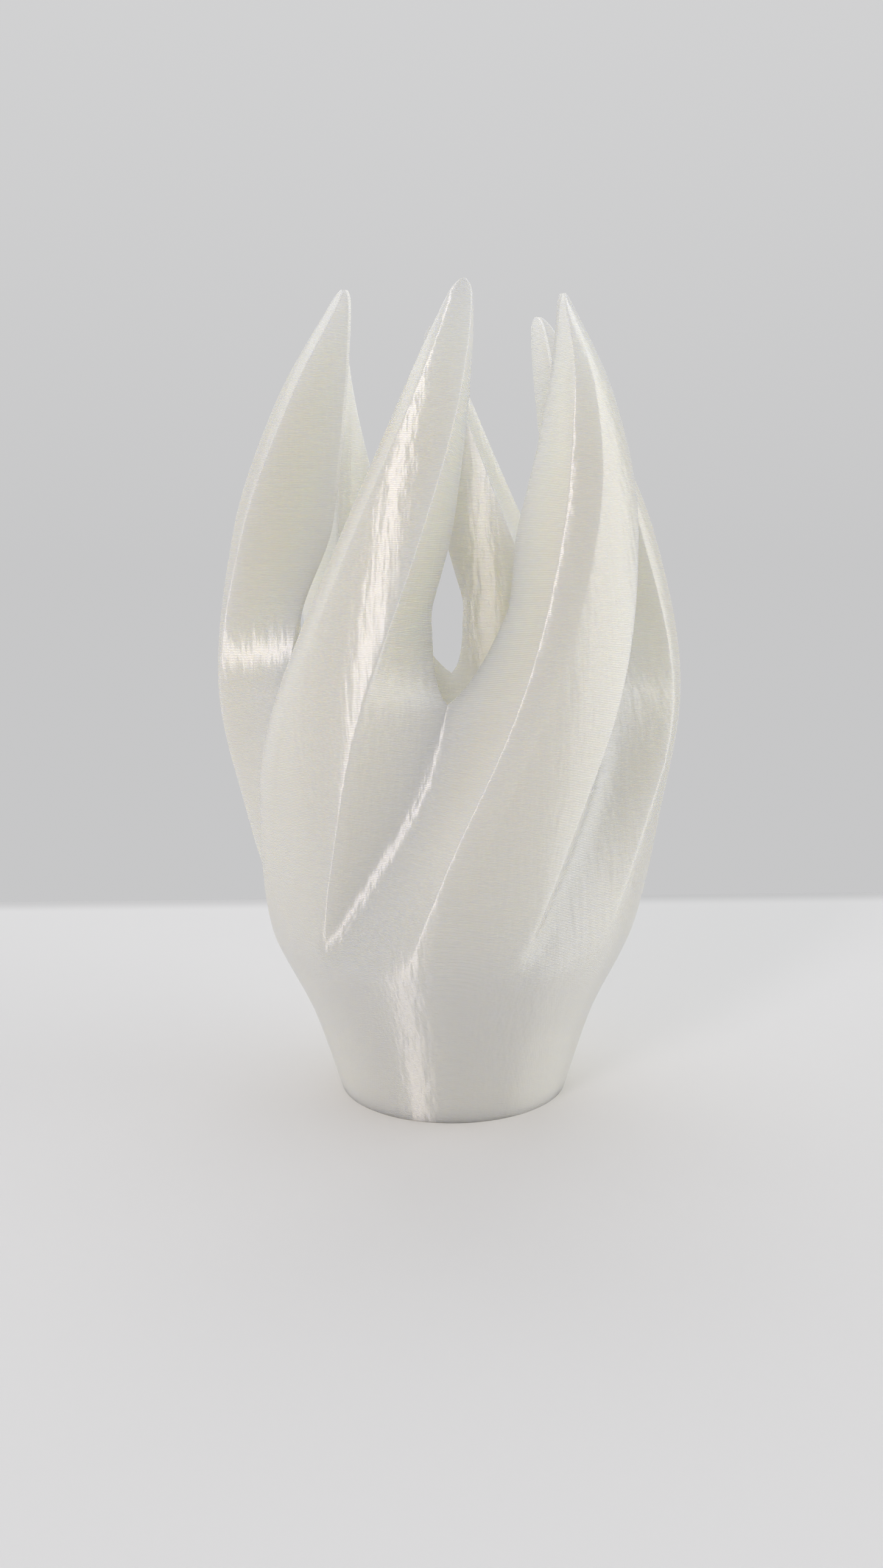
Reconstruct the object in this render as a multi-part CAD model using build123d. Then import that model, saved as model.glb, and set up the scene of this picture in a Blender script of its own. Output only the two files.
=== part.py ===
from build123d import *
import math
import os

# A hollow bud on a round foot, open at the top. Six alike petals twist up from the foot with grooves between
# them, part above the middle and close in to six free tips. The bud is one body. It is written as six petals
# that meet face to face along the bottoms of the grooves, and the disc that closes the foot.
# Lengths are millimetres and angles degrees. The origin is the centre of the foot, on its resting face, and
# +Z is up. A bearing is turned from the front, -Y, towards the right, +X.

PETALS = 6
HEIGHT = 102.6
FOOT_BEARING = -72.3
TWIST = 77.8
TIP_CURL = 1.4
CURL_LENGTH = 12.0

# Outside: the radius of the petals' ridges, with the upper heights measured down from the tips.
FOOT_RADIUS = 15.4
CUP_HEIGHT = 11.0
CUP_RADIUS = 18.9
BOWL_HEIGHT = 24.0
BOWL_RADIUS = 24.7
FLANK_HEIGHT = 38.0
FLANK_RADIUS = 27.5
BELLY_HEIGHT = 55.0
BELLY_RADIUS = 30.0
SHOULDER_DROP = 28.6
SHOULDER_RADIUS = 27.6
NECK_DROP = 12.6
NECK_RADIUS = 22.4
TIP_RADIUS = 15.8

# Inside: a flat floor, and a wall of one thickness under the grooves that thins towards the parting. Above it
# come the radii of the petals' inner faces. Their heights rise from the parting.
FLOOR = 2.4
WALL = 2.2
WALL_THINS_BELOW = 17.0
HORN_RISE = 11.4
HORN_INSIDE = 19.8
THROAT_RISE = 21.4
THROAT_RADIUS = 16.7
MOUTH_RADIUS = 15.0

# Groove between two petals. Its bottom opens into the cavity at the parting, and above that the petals are
# free. LIP is the thickness of the wall that is left there and along the petals' inner edges. The groove
# starts SEAM_GAP beside the right ridge of one petal. Its bottom is half way from there to the middle between
# two petals at HALF_LEAN_HEIGHT, and runs in the middle from UPRIGHT_HEIGHT up.
LIP = 0.4
GROOVE_START = 21.5
GROOVE_EASE = 1.3
SEAM_GAP = 0.6
HALF_LEAN_HEIGHT = 31.5
UPRIGHT_HEIGHT = 46.0
PARTING_HEIGHT = 54.3
PARTING_RADIUS = 22.6
ROOT_MIDDLE_RISE = 7.4
ROOT_MIDDLE_RADIUS = 17.0
ROOT_RISE = 11.4
ROOT_RADIUS = 13.5
ROOT_TOP_RADIUS = 7.0

# Petal: how far its left and right ridges stand from its centre line, at the foot and where it is widest, the
# place of the middle ridge as a part of the left one's distance, and how far the left ridge lies further in.
LEFT_FOOT_WIDTH = 7.4
LEFT_WIDTH = 7.6
RIGHT_FOOT_WIDTH = 5.6
RIGHT_WIDTH = 6.4
WIDTH_HEIGHT = 34.0
TIP_WIDTH = 0.8
TIP_TAPER = 0.8
MIDDLE_RIDGE = 0.53
INSET_DROP = 22.6
LEFT_RIDGE_INSET = 2.6
FACE_BULGE = 0.25
SIDE_BULGE = 0.2
TIP_ROUND = 1.6
TIP_BLUNTNESS = 0.97

# How hollow the flanks are: 1 runs into the groove's bottom as a round U, and 0 is flat. The U starts to
# flatten FLAT_START_BELOW the parting. A bend says how far the groove's bottom reaches up the flanks: 1 makes
# an even U, and less a V with a round bottom.
FLAT_START_BELOW = 8.6
LOW_BEND = 0.6
LOW_BEND_HEIGHT = 30.0
HIGH_BEND = 0.35
PARTING_HOLLOW = 0.2
LEFT_HORN_HOLLOW = 0.15
LEFT_TIP_HOLLOW = 1.1
RIGHT_HORN_HOLLOW = 0.08
RIGHT_TIP_HOLLOW = 0.0

# Loft: its sections below the parting, above it and near the tips, and the steps that find a flank's end.
LOWER_SECTIONS = 13
UPPER_SECTIONS = 11
TIP_SECTIONS = 3
TIP_LENGTH = 4.0
BISECTIONS = 30


def along(stations, z):
    """Value at height z on a smooth curve through (height, value) stations, which never overshoots them."""
    if z <= stations[0][0]:
        return stations[0][1]
    if z >= stations[-1][0]:
        return stations[-1][1]
    slopes = [(b[1] - a[1]) / (b[0] - a[0]) for a, b in zip(stations, stations[1:])]
    tangents = [slopes[0]]
    for before, after in zip(slopes, slopes[1:]):
        same_way = before * after > 0
        tangents.append(2 * before * after / (before + after) if same_way else 0.0)
    tangents.append(slopes[-1])
    i = sum(z > height for height, value in stations) - 1
    span = stations[i + 1][0] - stations[i][0]
    rise = stations[i + 1][1] - stations[i][1]
    t = (z - stations[i][0]) / span
    start = tangents[i] * span
    end = tangents[i + 1] * span
    return stations[i][1] + t * start + t * t * (3 * rise - 2 * start - end) + t**3 * (start + end - 2 * rise)


def ridge_radius(z):
    stations = [
        (0, FOOT_RADIUS),
        (CUP_HEIGHT, CUP_RADIUS),
        (BOWL_HEIGHT, BOWL_RADIUS),
        (FLANK_HEIGHT, FLANK_RADIUS),
        (BELLY_HEIGHT, BELLY_RADIUS),
        (HEIGHT - SHOULDER_DROP, SHOULDER_RADIUS),
        (HEIGHT - NECK_DROP, NECK_RADIUS),
        (HEIGHT, TIP_RADIUS),
    ]
    return along(stations, z)


def groove_radius(z):
    """Radius of the groove's bottom, and above the parting of the point inside that the flanks aim at."""
    bottom = PARTING_RADIUS + LIP
    if z < GROOVE_START:
        return ridge_radius(z)
    if z < PARTING_HEIGHT:
        left_to_go = (PARTING_HEIGHT - z) / (PARTING_HEIGHT - GROOVE_START)
        return ridge_radius(z) - (ridge_radius(PARTING_HEIGHT) - bottom) * (1 - left_to_go**GROOVE_EASE)
    stations = [
        (PARTING_HEIGHT, bottom),
        (PARTING_HEIGHT + ROOT_MIDDLE_RISE, ROOT_MIDDLE_RADIUS),
        (PARTING_HEIGHT + ROOT_RISE, ROOT_RADIUS),
        (HEIGHT, ROOT_TOP_RADIUS),
    ]
    return along(stations, z)


def cavity_radius(z):
    """Radius inside the bud: below the parting a wall lies between it and the grooves' bottoms."""
    if z < PARTING_HEIGHT:
        z = max(z, FLOOR)
        return groove_radius(z) - along([(PARTING_HEIGHT - WALL_THINS_BELOW, WALL), (PARTING_HEIGHT, LIP)], z)
    stations = [
        (PARTING_HEIGHT, PARTING_RADIUS),
        (PARTING_HEIGHT + HORN_RISE, HORN_INSIDE),
        (PARTING_HEIGHT + THROAT_RISE, THROAT_RADIUS),
        (HEIGHT, MOUTH_RADIUS),
    ]
    return along(stations, z)


def ridge_width(z, foot, widest):
    """Distance of a side ridge from the petal's centre line, from its value at the foot to the tip's."""
    if z < WIDTH_HEIGHT:
        t = z / WIDTH_HEIGHT
        return foot + (widest - foot) * t * (2 - t)
    t = (z - WIDTH_HEIGHT) / (HEIGHT - WIDTH_HEIGHT)
    width = TIP_WIDTH + (widest - TIP_WIDTH) * (1 - t * t) ** TIP_TAPER
    into_tip = max(0, 1 - (HEIGHT - z) / TIP_ROUND)
    return width * math.sqrt(1 - (TIP_BLUNTNESS * into_tip) ** 2)


def left_ridge_inset(z):
    start = PARTING_HEIGHT - FLAT_START_BELOW
    return along([(start, 0), (HEIGHT - INSET_DROP, LEFT_RIDGE_INSET), (HEIGHT, 0)], z)


def flank_hollow(z, horn, tip):
    """How hollow a flank is: a round U low down, nearly flat at the parting, then as given for the petal."""
    start = PARTING_HEIGHT - FLAT_START_BELOW
    stations = [
        (start, 1),
        (PARTING_HEIGHT, PARTING_HOLLOW),
        (PARTING_HEIGHT + HORN_RISE, horn),
        (HEIGHT, tip),
    ]
    return along(stations, z)


def bulge_share(z, width):
    """Share of the faces' bulge at a height: it grows with the groove's depth and shrinks with the width."""
    depth = (ridge_radius(z) - groove_radius(z)) / (ridge_radius(PARTING_HEIGHT) - PARTING_RADIUS - LIP)
    return min(depth, 1) * width / LEFT_WIDTH


def groove_bend(z):
    """How far the groove's bottom reaches up the flanks: 1 is an even U, and less a V with a round bottom."""
    stations = [
        (GROOVE_START, 1),
        (LOW_BEND_HEIGHT, LOW_BEND),
        (PARTING_HEIGHT - FLAT_START_BELOW, HIGH_BEND),
        (PARTING_HEIGHT + HORN_RISE, 1),
    ]
    return along(stations, z)


def seam_bearing(z):
    """Bearing, from a petal's centre line, of the seam on its right: midway to the next petal high up, and
    beside the right ridge where the groove starts."""
    midway = math.pi / PETALS
    beside = math.asin((ridge_width(z, RIGHT_FOOT_WIDTH, RIGHT_WIDTH) + SEAM_GAP) / ridge_radius(z))
    lean = along([(0, 0), (GROOVE_START, 1), (HALF_LEAN_HEIGHT, 1 / 2), (UPRIGHT_HEIGHT, 0), (HEIGHT, 0)], z)
    return midway - (midway - beside) * lean


def turn(z):
    """Bearing of a petal's centre line: an even twist, and a curl near the tip."""
    into_curl = max(0, 1 - (HEIGHT - z) / CURL_LENGTH)
    return FOOT_BEARING + TWIST * z / HEIGHT + TIP_CURL * into_curl**2


def polar(radius, angle, z):
    """Point at a radius and a bearing in radians."""
    return Vector(radius * math.sin(angle), -radius * math.cos(angle), z)


def outward_curve(start, end, sag):
    """Curve that stands out from its chord by sag, away from the axis."""
    normal = Vector(end.Y - start.Y, start.X - end.X, 0).normalized()
    return Bezier(start, (start + end) * 0.5 + normal * 2 * sag, end)


def flank(ridge, side, hollow, z):
    """Flank from the petal's inner edge to a ridge. A full hollow leaves the groove's bottom square to the
    radius."""
    root = polar(groove_radius(z), seam_bearing(z) - (1 - side) * math.pi / PETALS, z)
    outward = Vector(root.X, root.Y, 0).normalized()
    sideways = Vector(outward.Y, -outward.X, 0) * side
    chord = ridge - root
    angle = math.atan2(chord.dot(outward), chord.dot(sideways))
    inward = Vector(chord.Y, -chord.X, 0) * side
    corner = (root + ridge) * 0.5 + inward * math.tan(angle / 2) * hollow
    curve = Bezier(root, root + (corner - root) * groove_bend(z), ridge)
    edge_radius = cavity_radius(z) + LIP
    if groove_radius(z) >= edge_radius:
        return curve
    low = 0.0
    high = 1.0
    for _ in range(BISECTIONS):
        middle = (low + high) / 2
        point = curve @ middle
        if math.hypot(point.X, point.Y) < edge_radius:
            low = middle
        else:
            high = middle
    return curve.trim(low, 1)


def petal_section(z):
    """Level outline of one petal: its flanks, the two strips of its outer face and its inner face."""
    radius = ridge_radius(z)
    left_radius = radius - left_ridge_inset(z)
    left_width = ridge_width(z, LEFT_FOOT_WIDTH, LEFT_WIDTH)
    left = polar(left_radius, -math.asin(left_width / left_radius), z)
    middle = polar(radius, -math.asin(MIDDLE_RIDGE * left_width / radius), z)
    right = polar(radius, math.asin(ridge_width(z, RIGHT_FOOT_WIDTH, RIGHT_WIDTH) / radius), z)
    left_flank = flank(left, -1, flank_hollow(z, LEFT_HORN_HOLLOW, LEFT_TIP_HOLLOW), z)
    right_flank = flank(right, 1, flank_hollow(z, RIGHT_HORN_HOLLOW, RIGHT_TIP_HOLLOW), z)
    left_angle = math.atan2((left_flank @ 0).X, -(left_flank @ 0).Y)
    right_angle = math.atan2((right_flank @ 0).X, -(right_flank @ 0).Y)
    left_edge = polar(cavity_radius(z), left_angle, z)
    right_edge = polar(cavity_radius(z), right_angle, z)
    inner_middle = polar(cavity_radius(z), (left_angle + right_angle) / 2, z)
    crispness = bulge_share(z, left_width)
    side_sag = (middle - left).length ** 2 / (8 * radius) + SIDE_BULGE * crispness
    face_sag = (right - middle).length ** 2 / (8 * radius) + FACE_BULGE * crispness
    outline = Wire(
        [
            Line(left_edge, left_flank @ 0),
            left_flank,
            outward_curve(left, middle, side_sag),
            outward_curve(middle, right, face_sag),
            right_flank,
            Line(right_flank @ 0, right_edge),
            ThreePointArc(right_edge, inner_middle, left_edge),
        ]
    )
    return outline.rotate(Axis.Z, turn(z))


def section_heights():
    """Heights of the loft's sections: the foot, the floor, even steps to the parting and up to the tips."""
    tip_start = HEIGHT - TIP_LENGTH
    lower_step = (PARTING_HEIGHT - FLOOR) / LOWER_SECTIONS
    upper_step = (tip_start - PARTING_HEIGHT) / UPPER_SECTIONS
    lower = [FLOOR + lower_step * n for n in range(LOWER_SECTIONS)]
    upper = [PARTING_HEIGHT + upper_step * n for n in range(UPPER_SECTIONS)]
    tip = [tip_start + TIP_LENGTH * math.sin(math.pi / 2 * n / TIP_SECTIONS) for n in range(TIP_SECTIONS + 1)]
    return [0] + lower + upper + tip


def make_petal():
    return Solid.make_loft([petal_section(z) for z in section_heights()], ruled=True)


def make_floor():
    return Pos(0, 0, FLOOR / 2) * Cylinder(cavity_radius(FLOOR), FLOOR)


os.makedirs("parts", exist_ok=True)
floor_disc = make_floor()
petal = make_petal() - floor_disc
for n in range(PETALS):
    export_step(petal.rotate(Axis.Z, 360 / PETALS * n), f"parts/petal_{n + 1}.step")
export_step(floor_disc, "parts/floor_disc.step")
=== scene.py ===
import math

import bpy
import numpy as np
from mathutils import Matrix, Vector


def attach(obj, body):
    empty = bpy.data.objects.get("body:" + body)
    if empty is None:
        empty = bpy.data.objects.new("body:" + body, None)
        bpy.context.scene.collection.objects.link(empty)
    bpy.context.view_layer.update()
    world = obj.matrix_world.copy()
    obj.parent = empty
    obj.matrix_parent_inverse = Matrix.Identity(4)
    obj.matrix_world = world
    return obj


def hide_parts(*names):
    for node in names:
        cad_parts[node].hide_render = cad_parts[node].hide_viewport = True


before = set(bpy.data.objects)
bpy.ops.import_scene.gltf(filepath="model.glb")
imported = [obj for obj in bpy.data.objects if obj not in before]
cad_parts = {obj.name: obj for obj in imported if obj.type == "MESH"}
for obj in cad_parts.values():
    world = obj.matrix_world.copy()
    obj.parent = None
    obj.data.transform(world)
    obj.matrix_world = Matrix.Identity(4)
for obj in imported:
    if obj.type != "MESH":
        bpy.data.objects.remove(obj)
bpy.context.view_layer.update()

# A one-piece printed holder: six twisted petals on a round foot, in pearl silk filament with fine layers.
# It is one closed mesh, because it is one print and light spreads in it across the petals' borders. Its rows
# are the outlines of the CAD petals, with ridges and groove bottoms rounded as a nozzle leaves them.
# Lengths are millimetres, as in the CAD, where no other unit is given. MM turns them into Blender's metres.
# Angles are degrees. A bearing is turned from the front, -Y, towards the right, +X.
MM = 0.001

PETALS = 6
HEIGHT = 102.6
FOOT_BEARING = -72.3
TWIST = 77.8
TIP_CURL = 1.4
CURL_LENGTH = 12.0

# Outside: the radius of the petals' ridges, with the upper heights measured down from the tips.
FOOT_RADIUS = 15.4
CUP_HEIGHT = 11.0
CUP_RADIUS = 18.9
BOWL_HEIGHT = 24.0
BOWL_RADIUS = 24.7
FLANK_HEIGHT = 38.0
FLANK_RADIUS = 27.5
BELLY_HEIGHT = 55.0
BELLY_RADIUS = 30.0
SHOULDER_DROP = 28.6
SHOULDER_RADIUS = 27.6
NECK_DROP = 12.6
NECK_RADIUS = 22.4
TIP_RADIUS = 15.8

# Inside: a flat floor, and a wall of one thickness under the grooves that thins towards the parting. Above it
# come the radii of the petals' inner faces. Their heights rise from the parting.
FLOOR = 2.4
WALL = 2.2
WALL_THINS_BELOW = 17.0
HORN_RISE = 11.4
HORN_INSIDE = 19.8
THROAT_RISE = 21.4
THROAT_RADIUS = 16.7
MOUTH_RADIUS = 15.0

# Groove between two petals. Its bottom opens into the cavity at the parting, and above that the petals are
# free. LIP is the thickness of the wall that is left there and along the petals' inner edges. The groove
# starts SEAM_GAP beside the right ridge of one petal. Its bottom is half way from there to the middle between
# two petals at HALF_LEAN_HEIGHT, and runs in the middle from UPRIGHT_HEIGHT up.
LIP = 0.4
GROOVE_START = 21.5
GROOVE_EASE = 1.3
SEAM_GAP = 0.6
HALF_LEAN_HEIGHT = 31.5
UPRIGHT_HEIGHT = 46.0
PARTING_HEIGHT = 54.3
PARTING_RADIUS = 22.6
ROOT_MIDDLE_RISE = 7.4
ROOT_MIDDLE_RADIUS = 17.0
ROOT_RISE = 11.4
ROOT_RADIUS = 13.5
ROOT_TOP_RADIUS = 7.0

# Petal: how far its left and right ridges stand from its centre line, at the foot and where it is widest, the
# place of the middle ridge as a part of the left one's distance, and how far the left ridge lies further in.
LEFT_FOOT_WIDTH = 7.4
LEFT_WIDTH = 7.6
RIGHT_FOOT_WIDTH = 5.6
RIGHT_WIDTH = 6.4
WIDTH_HEIGHT = 34.0
TIP_WIDTH = 0.8
TIP_TAPER = 0.8
MIDDLE_RIDGE = 0.53
INSET_DROP = 22.6
LEFT_RIDGE_INSET = 2.6
FACE_BULGE = 0.25
SIDE_BULGE = 0.2
TIP_ROUND = 1.6
TIP_BLUNTNESS = 0.97

# How hollow the flanks are: 1 runs into the groove's bottom as a round U, and 0 is flat. The U starts to
# flatten FLAT_START_BELOW the parting. A bend says how far the groove's bottom reaches up the flanks: 1 makes
# an even U, and less a V with a round bottom.
FLAT_START_BELOW = 8.6
LOW_BEND = 0.6
LOW_BEND_HEIGHT = 30.0
HIGH_BEND = 0.35
PARTING_HOLLOW = 0.2
LEFT_HORN_HOLLOW = 0.15
LEFT_TIP_HOLLOW = 1.1
RIGHT_HORN_HOLLOW = 0.08
RIGHT_TIP_HOLLOW = 0.0

# Filament: its colour at the foot, warmed there with painted bounce light from the table, its own colour from
# PAINTED_BOUNCE_TOP up, drifting a little from layer to layer, and the paler colour of painted light that
# comes through where the print is thin. The free petals' edges turn thin over PAINTED_GLOW_FADE above the
# parting, and their tips over PAINTED_GLOW_TIP. A scale of streaks is how many of them there are to a metre
# along X, Y and Z.
FILAMENT_WITH_PAINTED_BOUNCE = (0.90, 0.85, 0.73)
FILAMENT_HIGH = (0.86, 0.835, 0.77)
PAINTED_GLOW_COLOUR = (0.985, 0.965, 0.87)
PAINTED_BOUNCE_TOP = 48.0
TINT_DRIFT = 0.5
TINT_START = 0.15
TINT_STREAKS = (60, 60, 4000)
TINT_DETAIL = 3
PAINTED_GLOW_FADE = 8.0
PAINTED_GLOW_TIP = 20.0

# Gloss of the filament, and how far each colour of light spreads in it as a part of SUBSURFACE_REACH.
ROUGHNESS = 0.42
METALLIC = 0.25
REFRACTION = 1.65
SPECULAR = 1.0
ANISOTROPY = 1.0
SUBSURFACE = 1.0
SUBSURFACE_REACH = 9.0
SUBSURFACE_COLOURS = (1.0, 0.9, 0.65)

# Relief: the layers, how unevenly they lie, and the upright streaks where the nozzle wavered.
LAYER_HEIGHT = 0.2
LAYER_RELIEF = 0.03
LAYER_UNEVENNESS = 0.3
WAVER_RELIEF = 0.09
WAVER_STREAKS = (1000, 1000, 160)
WAVER_DETAIL = 2

# Mesh: the distance between its rows, the points along each part of a petal's outline, and the rounding of
# its ridges and of the grooves' bottoms, which fades to none over SEAM_FADE below the parting.
ROW_STEP = 0.7
TIP_ROWS = 6
CURVE_SAMPLES = 120
FLANK_COLUMNS = 18
SIDE_COLUMNS = 10
FACE_COLUMNS = 18
INNER_COLUMNS = 14
RIDGE_ROUNDING = 0.35
SEAM_ROUNDING = 3.0
SEAM_FADE = 8.0
ROUNDING_SAMPLES = 9

# Camera, with two lengths in pixels of its picture, which is 1450 x 2576.
IMAGE_HEIGHT = 2576
FOCAL_PIXELS = 2153
SENSOR = 36.0
NEAR_CLIP = 10.0
CAMERA_PLACE = (-1.24, -173.0, 70.19)
CAMERA_PITCH = 9.48
CAMERA_ROLL = 0.613

# Stage: a table whose colour darkens with painted shade over TABLE_EDGE at its back, and wide ground just
# under it, GROUND_REACH metres to each side. The wall is the colour in which the camera sees the world. It
# turns paler up to where a direction rises by WALL_PALE_RISE of its length, so that painted shade darkens it
# low down.
TABLE_COLOUR = (0.84, 0.84, 0.845)
TABLE_EDGE_PAINTED_SHADE = (0.66, 0.66, 0.665)
TABLE_EDGE = 9.0
TABLE_SIZE = 900.0
TABLE_BACK = 100.0
TABLE_ROUGHNESS = 0.7
GROUND_REACH = 40.0
GROUND_DROP = 0.5
GROUND_ROUGHNESS = 0.9
WALL_COLOUR = (0.57, 0.57, 0.575)
WALL_PALE_COLOUR = (0.64, 0.64, 0.645)
WALL_PALE_RISE = 0.36

# Light of the world: its strength all round, and the lower one from the front. The change lies between the
# two shares of -Y in a direction.
WORLD_LIGHT = 0.58
WORLD_FRONT_LIGHT = 0.18
FRONT_CORE = 0.95
FRONT_RIM = 0.75

# Lamps: name, bearing, elevation, distance, width and height in metres, power in watts and colour.
LAMPS = [
    ("key", -32, 10, 1.3, 0.22, 1.2, 5.4, (1.0, 0.92, 0.96)),
    ("left", -105, 20, 1.4, 1.2, 1.4, 2.4, (0.98, 0.99, 1.0)),
    ("right", 88, 12, 1.4, 1.5, 1.4, 8, (0.98, 0.99, 1.0)),
    ("back", 180, 50, 1.4, 1.6, 1.0, 4, (1.0, 1.0, 1.0)),
]


def along(stations, z):
    """Values at heights z on a smooth curve through (height, value) stations, which never overshoots them."""
    heights = np.array([height for height, value in stations], float)
    values = np.array([value for height, value in stations], float)
    z = np.clip(z, heights[0], heights[-1])
    span = np.diff(heights)
    slopes = np.diff(values) / span
    product = slopes[:-1] * slopes[1:]
    total = slopes[:-1] + slopes[1:]
    inner = np.where(product > 0, 2 * product / np.where(product > 0, total, 1), 0)
    tangents = np.concatenate([slopes[:1], inner, slopes[-1:]])
    i = np.clip(np.searchsorted(heights, z) - 1, 0, len(span) - 1)
    t = (z - heights[i]) / span[i]
    rise = slopes[i] * span[i]
    start = tangents[i] * span[i]
    end = tangents[i + 1] * span[i]
    return values[i] + t * start + t**2 * (3 * rise - 2 * start - end) + t**3 * (start + end - 2 * rise)


def ridge_radius(z):
    """Outer radius of a petal at its ridges."""
    stations = [
        (0, FOOT_RADIUS),
        (CUP_HEIGHT, CUP_RADIUS),
        (BOWL_HEIGHT, BOWL_RADIUS),
        (FLANK_HEIGHT, FLANK_RADIUS),
        (BELLY_HEIGHT, BELLY_RADIUS),
        (HEIGHT - SHOULDER_DROP, SHOULDER_RADIUS),
        (HEIGHT - NECK_DROP, NECK_RADIUS),
        (HEIGHT, TIP_RADIUS),
    ]
    return along(stations, z)


def groove_radius(z):
    """Radius of the groove's bottom, and above the parting of the point inside that the flanks aim at."""
    bottom = PARTING_RADIUS + LIP
    if z < GROOVE_START:
        return float(ridge_radius(z))
    if z < PARTING_HEIGHT:
        left_to_go = (PARTING_HEIGHT - z) / (PARTING_HEIGHT - GROOVE_START)
        depth = (ridge_radius(PARTING_HEIGHT) - bottom) * (1 - left_to_go**GROOVE_EASE)
        return float(ridge_radius(z) - depth)
    stations = [
        (PARTING_HEIGHT, bottom),
        (PARTING_HEIGHT + ROOT_MIDDLE_RISE, ROOT_MIDDLE_RADIUS),
        (PARTING_HEIGHT + ROOT_RISE, ROOT_RADIUS),
        (HEIGHT, ROOT_TOP_RADIUS),
    ]
    return float(along(stations, z))


def cavity_radius(z):
    """Radius inside the bud: below the parting a wall lies between it and the grooves' bottoms."""
    if z < PARTING_HEIGHT:
        z = max(z, FLOOR)
        wall = along([(PARTING_HEIGHT - WALL_THINS_BELOW, WALL), (PARTING_HEIGHT, LIP)], z)
        return groove_radius(z) - float(wall)
    stations = [
        (PARTING_HEIGHT, PARTING_RADIUS),
        (PARTING_HEIGHT + HORN_RISE, HORN_INSIDE),
        (PARTING_HEIGHT + THROAT_RISE, THROAT_RADIUS),
        (HEIGHT, MOUTH_RADIUS),
    ]
    return float(along(stations, z))


def ridge_width(z, foot, widest):
    """Distance of a side ridge from the petal's centre line, from its value at the foot to the tip's."""
    if z < WIDTH_HEIGHT:
        t = z / WIDTH_HEIGHT
        return foot + (widest - foot) * t * (2 - t)
    t = (z - WIDTH_HEIGHT) / (HEIGHT - WIDTH_HEIGHT)
    width = TIP_WIDTH + (widest - TIP_WIDTH) * (1 - t * t) ** TIP_TAPER
    into_tip = max(0, 1 - (HEIGHT - z) / TIP_ROUND)
    return width * math.sqrt(1 - (TIP_BLUNTNESS * into_tip) ** 2)


def left_ridge_inset(z):
    """How far the left ridge lies further in than the others."""
    start = PARTING_HEIGHT - FLAT_START_BELOW
    return along([(start, 0), (HEIGHT - INSET_DROP, LEFT_RIDGE_INSET), (HEIGHT, 0)], z)


def flank_hollow(z, horn, tip):
    """How hollow a flank is: a round U low down, nearly flat at the parting, then as given for the petal."""
    stations = [
        (PARTING_HEIGHT - FLAT_START_BELOW, 1),
        (PARTING_HEIGHT, PARTING_HOLLOW),
        (PARTING_HEIGHT + HORN_RISE, horn),
        (HEIGHT, tip),
    ]
    return along(stations, z)


def bulge_share(z, width):
    """Share of the faces' bulge at a height: it grows with the groove's depth and shrinks with the width."""
    deepest = ridge_radius(PARTING_HEIGHT) - PARTING_RADIUS - LIP
    return min((ridge_radius(z) - groove_radius(z)) / deepest, 1) * width / LEFT_WIDTH


def groove_bend(z):
    """How far the groove's bottom reaches up the flanks: 1 is an even U, and less a V with a round bottom."""
    stations = [
        (GROOVE_START, 1),
        (LOW_BEND_HEIGHT, LOW_BEND),
        (PARTING_HEIGHT - FLAT_START_BELOW, HIGH_BEND),
        (PARTING_HEIGHT + HORN_RISE, 1),
    ]
    return along(stations, z)


def seam_bearing(z):
    """Bearing in radians, from a petal's centre line, of the seam on its right: midway to the next petal high
    up, and beside the right ridge where the groove starts."""
    midway = math.pi / PETALS
    beside = math.asin((ridge_width(z, RIGHT_FOOT_WIDTH, RIGHT_WIDTH) + SEAM_GAP) / ridge_radius(z))
    stations = [(0, 0), (GROOVE_START, 1), (HALF_LEAN_HEIGHT, 1 / 2), (UPRIGHT_HEIGHT, 0), (HEIGHT, 0)]
    return midway - (midway - beside) * along(stations, z)


def turn(z):
    """Bearing of a petal's centre line: an even twist, and a curl near the tip."""
    into_curl = max(0, 1 - (HEIGHT - z) / CURL_LENGTH)
    return FOOT_BEARING + TWIST * z / HEIGHT + TIP_CURL * into_curl**2


def polar(radius, angle):
    """Point in the level plane at a radius and a bearing in radians from the front."""
    return np.array([radius * math.sin(angle), -radius * math.cos(angle)])


def quadratic(start, corner, end):
    """Points along a curve from start to end that is drawn towards a corner."""
    t = np.linspace(0, 1, CURVE_SAMPLES)[:, None]
    return (1 - t) ** 2 * start + 2 * t * (1 - t) * corner + t**2 * end


def outward_curve(start, end, sag):
    """Points along a curve that stands out from the straight line between two ridges by a sag."""
    chord = end - start
    normal = np.array([chord[1], -chord[0]]) / np.linalg.norm(chord)
    return quadratic(start, (start + end) / 2 + 2 * sag * normal, end)


def flank(ridge, side, hollow, z):
    """Flank from the petal's inner edge to a ridge, on its left side, -1, or right side, 1. A full hollow
    leaves the groove's bottom square to the radius."""
    root = polar(groove_radius(z), seam_bearing(z) - (1 - side) * math.pi / PETALS)
    outward = root / np.linalg.norm(root)
    sideways = np.array([outward[1], -outward[0]]) * side
    chord = ridge - root
    angle = math.atan2(chord @ outward, chord @ sideways)
    inward = np.array([chord[1], -chord[0]]) * side
    corner = (root + ridge) / 2 + inward * math.tan(angle / 2) * hollow
    curve = quadratic(root, root + (corner - root) * groove_bend(z), ridge)
    radii = np.hypot(curve[:, 0], curve[:, 1])
    edge = cavity_radius(z) + LIP
    if radii[0] >= edge:
        return curve
    first = int(np.argmax(radii > edge))
    part = (edge - radii[first - 1]) / (radii[first] - radii[first - 1])
    cut = curve[first - 1] * (1 - part) + curve[first] * part
    return np.vstack([cut, curve[first:]])


def lengths_along(line):
    """Length along a line from its start to each of its points."""
    return np.concatenate([[0], np.cumsum(np.linalg.norm(np.diff(line, axis=0), axis=1))])


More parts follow.
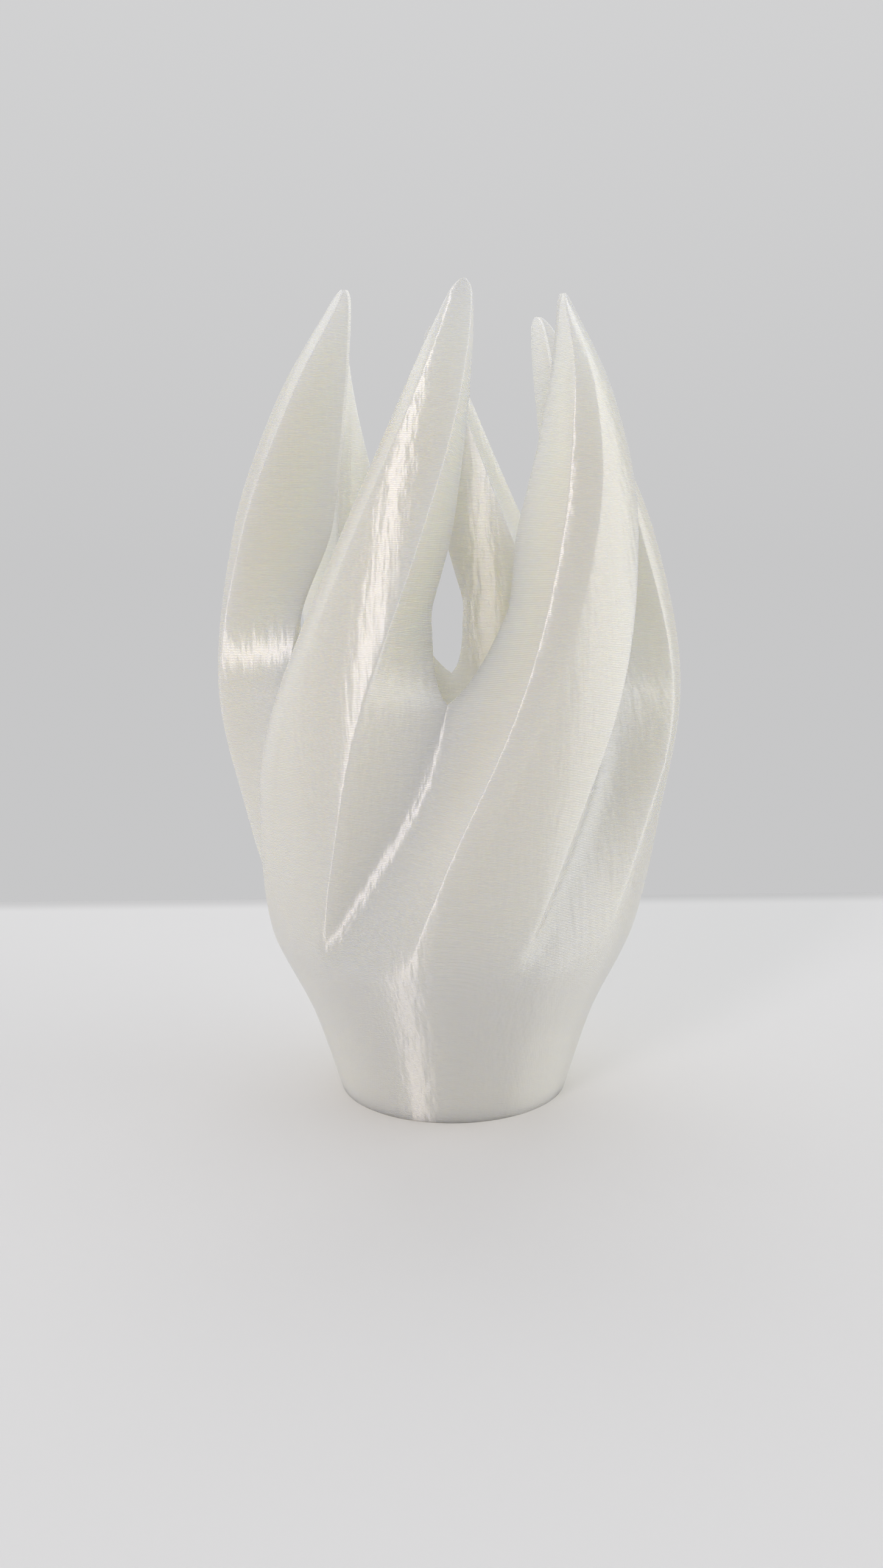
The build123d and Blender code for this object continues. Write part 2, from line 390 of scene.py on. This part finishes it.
def spaced(points, count):
    """The same line with its points closer together near both ends."""
    lengths = lengths_along(points)
    wanted = lengths[-1] * (1 - np.cos(np.linspace(0, math.pi, count))) / 2
    return np.stack([np.interp(wanted, lengths, points[:, k]) for k in range(2)], axis=1)


def turned(points, angle):
    """Points of the level plane turned about the axis by radians, from the front towards the right."""
    return points @ np.array([[math.cos(angle), math.sin(angle)], [-math.sin(angle), math.cos(angle)]])


def rounded(line, seams, seam_reach):
    """The line with its corners rounded, over seam_reach at its seams, and its two ends kept."""
    lengths = lengths_along(line)
    reach = np.full(len(line), RIDGE_ROUNDING)
    for seam in seams:
        reach = np.maximum(reach, seam_reach - abs(lengths - lengths[seam]) / 2)
    reach = np.minimum(reach, np.minimum(lengths, lengths[-1] - lengths))
    steps = np.linspace(-1, 1, ROUNDING_SAMPLES)
    weights = 1 - abs(steps)
    places = lengths[:, None] + reach[:, None] * steps
    parts = [np.interp(places, lengths, line[:, k]) * weights for k in range(2)]
    return np.stack([part.sum(1) / weights.sum() for part in parts], axis=1)


def rounded_outer(line, z):
    """Outer line of a petal with rounded ridges, and below the parting with rounded groove bottoms too."""
    if z > PARTING_HEIGHT:
        return rounded(line, [], 0)
    last = len(line) - 1
    step = 2 * math.pi / PETALS
    ring = np.vstack([turned(line[:-1], -step), line, turned(line[1:], step)])
    seam_reach = SEAM_ROUNDING * min(1, (PARTING_HEIGHT - z) / SEAM_FADE)
    return rounded(ring, [last, 2 * last], seam_reach)[last : 2 * last + 1]


def petal_outline(z):
    """Level outline of one petal: its outer line from the left to the right edge, and back along its inner
    face."""
    radius = float(ridge_radius(z))
    left_radius = radius - float(left_ridge_inset(z))
    left_width = ridge_width(z, LEFT_FOOT_WIDTH, LEFT_WIDTH)
    left = polar(left_radius, -math.asin(left_width / left_radius))
    middle = polar(radius, -math.asin(MIDDLE_RIDGE * left_width / radius))
    right = polar(radius, math.asin(ridge_width(z, RIGHT_FOOT_WIDTH, RIGHT_WIDTH) / radius))
    crispness = bulge_share(z, left_width)
    side_sag = np.sum((middle - left) ** 2) / (8 * radius) + SIDE_BULGE * crispness
    face_sag = np.sum((right - middle) ** 2) / (8 * radius) + FACE_BULGE * crispness
    left_flank = flank(left, -1, flank_hollow(z, LEFT_HORN_HOLLOW, LEFT_TIP_HOLLOW), z)
    right_flank = flank(right, 1, flank_hollow(z, RIGHT_HORN_HOLLOW, RIGHT_TIP_HOLLOW), z)
    runs = [
        spaced(left_flank, FLANK_COLUMNS),
        spaced(outward_curve(left, middle, side_sag), SIDE_COLUMNS)[1:],
        spaced(outward_curve(middle, right, face_sag), FACE_COLUMNS)[1:],
        spaced(right_flank[::-1], FLANK_COLUMNS)[1:],
    ]
    outer = rounded_outer(np.vstack(runs), z)
    angles = [math.atan2(point[0], -point[1]) for point in (outer[-1], outer[0])]
    inner = np.array([polar(float(cavity_radius(z)), a) for a in np.linspace(*angles, INNER_COLUMNS)])
    return turned(np.vstack([outer, inner]), math.radians(turn(z)))


def bud_rows():
    """Heights of the mesh's rows, and the numbers of the rows that lie on the floor and on the parting."""
    foot = [0.0, FLOOR / 2]
    lower = np.linspace(FLOOR, PARTING_HEIGHT, round((PARTING_HEIGHT - FLOOR) / ROW_STEP) + 1)
    upper = np.linspace(PARTING_HEIGHT, HEIGHT - TIP_ROUND, round((HEIGHT - PARTING_HEIGHT) / ROW_STEP))
    tip = HEIGHT - TIP_ROUND + TIP_ROUND * np.sin(np.linspace(0, math.pi / 2, TIP_ROWS + 1))
    rows = np.concatenate([foot, lower, upper[1:], tip[1:]])
    return rows, len(foot), len(foot) + len(lower) - 1


class Grid:
    """Points of the bud's mesh: each petal has a row for each height, and a row has a column for each point
    of the outline, from the left edge to the right edge and back along the inner face."""

    def __init__(self):
        self.rows, self.floor_row, self.parting_row = bud_rows()
        self.outlines = [petal_outline(z) for z in self.rows]
        self.columns = len(self.outlines[0])
        self.right_edge = self.columns - INNER_COLUMNS - 1

    def places(self):
        """Places of all points in metres, petal by petal and row by row."""
        places = []
        for petal in range(PETALS):
            for z, line in zip(self.rows, self.outlines):
                around = turned(line, 2 * math.pi * petal / PETALS)
                places += [(x * MM, y * MM, z * MM) for x, y in around]
        return places

    def point(self, petal, row, column):
        """Number of a point. Up to the parting a petal's right edges are the next one's left edges."""
        column %= self.columns
        if row <= self.parting_row and column in (self.right_edge, self.right_edge + 1):
            petal = (petal + 1) % PETALS
            column = 0 if column == self.right_edge else self.columns - 1
        return (petal * len(self.rows) + row) * self.columns + column

    def has_face(self, row, column):
        """Whether a face stands on this row from this column to the next: none do where two petals are
        joined, or on the inside under the floor."""
        joined = row < self.parting_row and column in (self.right_edge, self.columns - 1)
        under_floor = row < self.floor_row and column > self.right_edge
        return not joined and not under_floor

    def petal_faces(self, petal):
        """Faces of one petal between its rows, and the one that closes its tip."""
        faces = []
        for row in range(len(self.rows) - 1):
            for column in range(self.columns):
                if self.has_face(row, column):
                    low = (self.point(petal, row, column), self.point(petal, row, column + 1))
                    high = (self.point(petal, row + 1, column + 1), self.point(petal, row + 1, column))
                    faces.append(low + high)
        top = len(self.rows) - 1
        return faces + [tuple(self.point(petal, top, column) for column in range(self.columns))]

    def foot_ring(self):
        """Points round the foot."""
        return [self.point(petal, 0, column) for petal in range(PETALS) for column in range(self.right_edge)]

    def floor_ring(self):
        """Points round the floor inside."""
        inner = range(self.columns - 1, self.right_edge + 1, -1)
        return [self.point(petal, self.floor_row, column) for petal in range(PETALS) for column in inner]

    def sharp_edges(self):
        """Edges that stay crisp: the free petals' inner edges, and those round the foot and the floor."""
        edges = []
        for petal in range(PETALS):
            for row in range(self.parting_row, len(self.rows) - 1):
                for column in (0, self.right_edge, self.right_edge + 1, self.columns - 1):
                    edges.append((self.point(petal, row, column), self.point(petal, row + 1, column)))
        for ring in (self.foot_ring(), self.floor_ring()):
            edges += zip(ring, ring[1:] + ring[:1])
        return edges

    def painted_glow_share(self, point):
        """Share of painted light through thin print at a point: 1 on inner faces, free edges and tips,
        and 0 on outer faces.
        """
        column = point % self.columns
        if column > self.right_edge:
            return 1
        z = self.rows[point // self.columns % len(self.rows)]
        near_tip = max(0, 1 - (HEIGHT - z) / PAINTED_GLOW_TIP)
        near_edge = max(0, 1 - min(column, self.right_edge - column) / FLANK_COLUMNS)
        return max(near_tip, near_edge * max(0, min(1, (z - PARTING_HEIGHT) / PAINTED_GLOW_FADE)))


def add_mesh(name, vertices, faces, material, sharp, painted_glow):
    """New object that rides on the root body. The edges named in sharp stay crisp, and the last argument
    holds each point's share of painted light through thin print."""
    mesh = bpy.data.meshes.new(name)
    mesh.from_pydata(vertices, [], faces)
    mesh.update()
    mesh.materials.append(material)
    mesh.shade_smooth()
    marks = {tuple(sorted(edge)) for edge in sharp}
    keys = [tuple(sorted(edge.vertices)) in marks for edge in mesh.edges]
    mesh.attributes.new("sharp_edge", "BOOLEAN", "EDGE").data.foreach_set("value", keys)
    mesh.attributes.new("painted_glow", "FLOAT", "POINT").data.foreach_set("value", painted_glow)
    piece = bpy.data.objects.new(name, mesh)
    bpy.context.scene.collection.objects.link(piece)
    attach(piece, "root")
    return piece


def make_bud(material):
    """The whole bud as one closed mesh, as it is printed: grooved wall, floor, and the free petals above."""
    grid = Grid()
    places = grid.places()
    faces = [face for petal in range(PETALS) for face in grid.petal_faces(petal)]
    faces += [tuple(reversed(grid.foot_ring())), tuple(grid.floor_ring())]
    used = {}
    faces = [[used.setdefault(point, len(used)) for point in face] for face in faces]
    sharp = [(used[a], used[b]) for a, b in grid.sharp_edges()]
    # Each point's share of painted light through thin print.
    painted_glow = [grid.painted_glow_share(point) for point in used]
    piece = add_mesh("bud_print", [places[point] for point in used], faces, material, sharp, painted_glow)
    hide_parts(*[f"petal_{number + 1}" for number in range(PETALS)], "floor_disc")


def new_material(name):
    """New material, with its node tree and its shader."""
    material = bpy.data.materials.new(name)
    material.use_nodes = True
    return material, material.node_tree, material.node_tree.nodes["Principled BSDF"]


def streaks(tree, place, scale, detail):
    """Noise that is stretched into streaks, with a scale for each direction."""
    stretch = tree.nodes.new("ShaderNodeMapping")
    stretch.inputs["Scale"].default_value = scale
    tree.links.new(place, stretch.inputs["Vector"])
    noise = tree.nodes.new("ShaderNodeTexNoise")
    noise.inputs["Scale"].default_value = 1
    noise.inputs["Detail"].default_value = detail
    tree.links.new(stretch.outputs[0], noise.inputs["Vector"])
    return noise.outputs["Fac"]


def ramp(tree, value, first, last, start=0):
    """Colour that runs from the first to the last as a value goes from start to 1."""
    colours = tree.nodes.new("ShaderNodeValToRGB")
    colours.color_ramp.elements[0].position = start
    colours.color_ramp.elements[0].color = (*first, 1)
    colours.color_ramp.elements[1].color = (*last, 1)
    tree.links.new(value, colours.inputs[0])
    return colours.outputs[0]


def camera_sees(tree, lit, seen, output):
    """Gives an output one shader that lights the scene, and another one that only the camera sees."""
    path = tree.nodes.new("ShaderNodeLightPath")
    mix = tree.nodes.new("ShaderNodeMixShader")
    tree.links.new(path.outputs["Is Camera Ray"], mix.inputs[0])
    tree.links.new(lit.outputs[0], mix.inputs[1])
    tree.links.new(seen.outputs[0], mix.inputs[2])
    tree.links.new(mix.outputs[0], tree.nodes[output].inputs["Surface"])


def silk_material():
    """Pearl silk filament: pale warm body that lets some light through, with painted bounce light and painted
    glow in its colour, a silky gleam that the level layers draw out upwards, and the layers themselves."""
    material, tree, shader = new_material("silk_filament")
    shader.inputs["Roughness"].default_value = ROUGHNESS
    shader.inputs["Metallic"].default_value = METALLIC
    shader.inputs["IOR"].default_value = REFRACTION
    shader.inputs["Specular IOR Level"].default_value = SPECULAR
    shader.inputs["Anisotropic"].default_value = ANISOTROPY
    shader.inputs["Subsurface Weight"].default_value = SUBSURFACE
    shader.inputs["Subsurface Radius"].default_value = SUBSURFACE_COLOURS
    shader.inputs["Subsurface Scale"].default_value = SUBSURFACE_REACH * MM
    upward = tree.nodes.new("ShaderNodeCombineXYZ")
    upward.inputs["Z"].default_value = 1
    place = tree.nodes.new("ShaderNodeTexCoord").outputs["Object"]
    tree.links.new(upward.outputs[0], shader.inputs["Tangent"])
    tree.links.new(filament_colour_and_painted_light(tree, place), shader.inputs["Base Color"])
    tree.links.new(layer_relief(tree, place), shader.inputs["Normal"])
    return material


def filament_colour_and_painted_light(tree, place):
    """Colour of the filament, drifting between layers, warmed near the foot by painted bounce light from the
    table, and paler with painted light where the print is thin.
    """
    split = tree.nodes.new("ShaderNodeSeparateXYZ")
    tree.links.new(place, split.inputs[0])
    rise = tree.nodes.new("ShaderNodeMapRange")
    rise.inputs["From Max"].default_value = PAINTED_BOUNCE_TOP * MM
    tree.links.new(split.outputs["Z"], rise.inputs["Value"])
    drift = tree.nodes.new("ShaderNodeMath")
    drift.operation = "MULTIPLY_ADD"
    drift.inputs[1].default_value = TINT_DRIFT
    tree.links.new(streaks(tree, place, TINT_STREAKS, TINT_DETAIL), drift.inputs[0])
    tree.links.new(rise.outputs[0], drift.inputs[2])
    # Painted bounce light from the table: the colour is warmer near the foot and fades to the filament's own
    # higher up.
    tint = ramp(tree, drift.outputs[0], FILAMENT_WITH_PAINTED_BOUNCE, FILAMENT_HIGH, TINT_START)
    # Painted light through thin print: a paler colour mixed in by each point's share.
    painted_glow = tree.nodes.new("ShaderNodeAttribute")
    painted_glow.attribute_name = "painted_glow"
    mix = tree.nodes.new("ShaderNodeMixRGB")
    mix.inputs["Color2"].default_value = (*PAINTED_GLOW_COLOUR, 1)
    tree.links.new(painted_glow.outputs["Fac"], mix.inputs["Fac"])
    tree.links.new(tint, mix.inputs["Color1"])
    return mix.outputs[0]


def layer_relief(tree, place):
    """Relief of the print's level layers, and the faint upright streaks where the nozzle wavered."""
    layers = tree.nodes.new("ShaderNodeTexWave")
    layers.bands_direction = "Z"
    layers.inputs["Scale"].default_value = math.pi / (10 * LAYER_HEIGHT * MM)
    layers.inputs["Distortion"].default_value = LAYER_UNEVENNESS
    tree.links.new(place, layers.inputs["Vector"])
    waver = tree.nodes.new("ShaderNodeBump")
    waver.inputs["Distance"].default_value = WAVER_RELIEF * MM
    tree.links.new(streaks(tree, place, WAVER_STREAKS, WAVER_DETAIL), waver.inputs["Height"])
    relief = tree.nodes.new("ShaderNodeBump")
    relief.inputs["Distance"].default_value = LAYER_RELIEF * MM
    tree.links.new(layers.outputs["Fac"], relief.inputs["Height"])
    tree.links.new(waver.outputs[0], relief.inputs["Normal"])
    return relief.outputs[0]


def table_material():
    """Plain pale table, with painted shade that darkens it softly towards its back edge."""
    material, tree, shader = new_material("table")
    shader.inputs["Roughness"].default_value = TABLE_ROUGHNESS
    place = tree.nodes.new("ShaderNodeTexCoord")
    split = tree.nodes.new("ShaderNodeSeparateXYZ")
    tree.links.new(place.outputs["Object"], split.inputs[0])
    edge = tree.nodes.new("ShaderNodeMapRange")
    edge.interpolation_type = "SMOOTHSTEP"
    edge.inputs["From Min"].default_value = (TABLE_BACK - TABLE_EDGE) * MM
    edge.inputs["From Max"].default_value = TABLE_BACK * MM
    tree.links.new(split.outputs["Y"], edge.inputs["Value"])
    # Painted shade: the colour darkens towards the table's back edge.
    colour = ramp(tree, edge.outputs[0], TABLE_COLOUR, TABLE_EDGE_PAINTED_SHADE)
    tree.links.new(colour, shader.inputs["Base Color"])
    return material


def backdrop_material():
    """Ground that the camera sees as an even pale grey, so that it runs into the wall's colour far away."""
    material, tree, shader = new_material("backdrop")
    shader.inputs["Base Color"].default_value = (*WALL_COLOUR, 1)
    shader.inputs["Roughness"].default_value = GROUND_ROUGHNESS
    even = tree.nodes.new("ShaderNodeEmission")
    even.inputs["Color"].default_value = (*WALL_COLOUR, 1)
    camera_sees(tree, shader, even, "Material Output")
    return material


def add_plane(name, left, right, front, back, height, material):
    """Level rectangle of the stage, in metres."""
    mesh = bpy.data.meshes.new(name)
    corners = [(left, front, height), (right, front, height), (right, back, height), (left, back, height)]
    mesh.from_pydata(corners, [], [(0, 1, 2, 3)])
    mesh.materials.append(material)
    plane = bpy.data.objects.new(name, mesh)
    bpy.context.scene.collection.objects.link(plane)


def make_stage():
    """Table under the object, and the ground far around it."""
    side = TABLE_SIZE * MM / 2
    far = GROUND_REACH
    add_plane("table_top", -side, side, -side, TABLE_BACK * MM, 0, table_material())
    add_plane("ground", -far, far, -far, far, -GROUND_DROP * MM, backdrop_material())


def make_world():
    """Even soft light that is weaker from the front, and all round a pale wall for the camera alone, with
    painted shade that darkens it low down.
    """
    world = bpy.data.worlds.new("studio")
    bpy.context.scene.world = world
    world.use_nodes = True
    tree = world.node_tree
    place = tree.nodes.new("ShaderNodeTexCoord")
    split = tree.nodes.new("ShaderNodeSeparateXYZ")
    tree.links.new(place.outputs["Generated"], split.inputs[0])
    ambient = tree.nodes["Background"]
    ambient.inputs["Color"].default_value = (1, 1, 1, 1)
    strength = tree.nodes.new("ShaderNodeMapRange")
    strength.inputs["From Min"].default_value = -FRONT_CORE
    strength.inputs["From Max"].default_value = -FRONT_RIM
    strength.inputs["To Min"].default_value = WORLD_FRONT_LIGHT
    strength.inputs["To Max"].default_value = WORLD_LIGHT
    tree.links.new(split.outputs["Y"], strength.inputs["Value"])
    tree.links.new(strength.outputs[0], ambient.inputs["Strength"])
    rise = tree.nodes.new("ShaderNodeMapRange")
    rise.inputs["From Max"].default_value = WALL_PALE_RISE
    tree.links.new(split.outputs["Z"], rise.inputs["Value"])
    wall = tree.nodes.new("ShaderNodeBackground")
    # Painted shade: the wall the camera sees is darker low down and paler higher up.
    tree.links.new(ramp(tree, rise.outputs[0], WALL_COLOUR, WALL_PALE_COLOUR), wall.inputs["Color"])
    camera_sees(tree, ambient, wall, "World Output")


def add_lamp(name, bearing, elevation, distance, width, height, power, colour):
    """Soft box that faces the middle of the object."""
    lamp = bpy.data.lights.new(name, "AREA")
    lamp.shape = "RECTANGLE"
    lamp.size = width
    lamp.size_y = height
    lamp.energy = power
    lamp.color = colour
    box = bpy.data.objects.new(name, lamp)
    across = math.radians(bearing)
    up = math.radians(elevation)
    away = Vector((math.sin(across) * math.cos(up), -math.cos(across) * math.cos(up), math.sin(up)))
    box.location = Vector((0, 0, HEIGHT * MM / 2)) + away * distance
    box.rotation_euler = away.to_track_quat("Z", "Y").to_euler()
    bpy.context.scene.collection.objects.link(box)


def make_camera():
    """Camera at the place, pitch and roll from which the object was photographed."""
    data = bpy.data.cameras.new("camera")
    data.sensor_fit = "VERTICAL"
    data.sensor_height = SENSOR
    data.lens = SENSOR * FOCAL_PIXELS / IMAGE_HEIGHT
    data.clip_start = NEAR_CLIP * MM
    camera = bpy.data.objects.new("camera", data)
    camera.location = Vector(CAMERA_PLACE) * MM
    pitch = Matrix.Rotation(math.radians(90 - CAMERA_PITCH), 4, "X")
    roll = Matrix.Rotation(math.radians(-CAMERA_ROLL), 4, "Z")
    camera.rotation_euler = (pitch @ roll).to_euler()
    bpy.context.scene.collection.objects.link(camera)
    bpy.context.scene.camera = camera


make_bud(silk_material())
make_stage()
make_world()
for settings in LAMPS:
    add_lamp(*settings)
make_camera()
bpy.context.scene.view_settings.view_transform = "Standard"
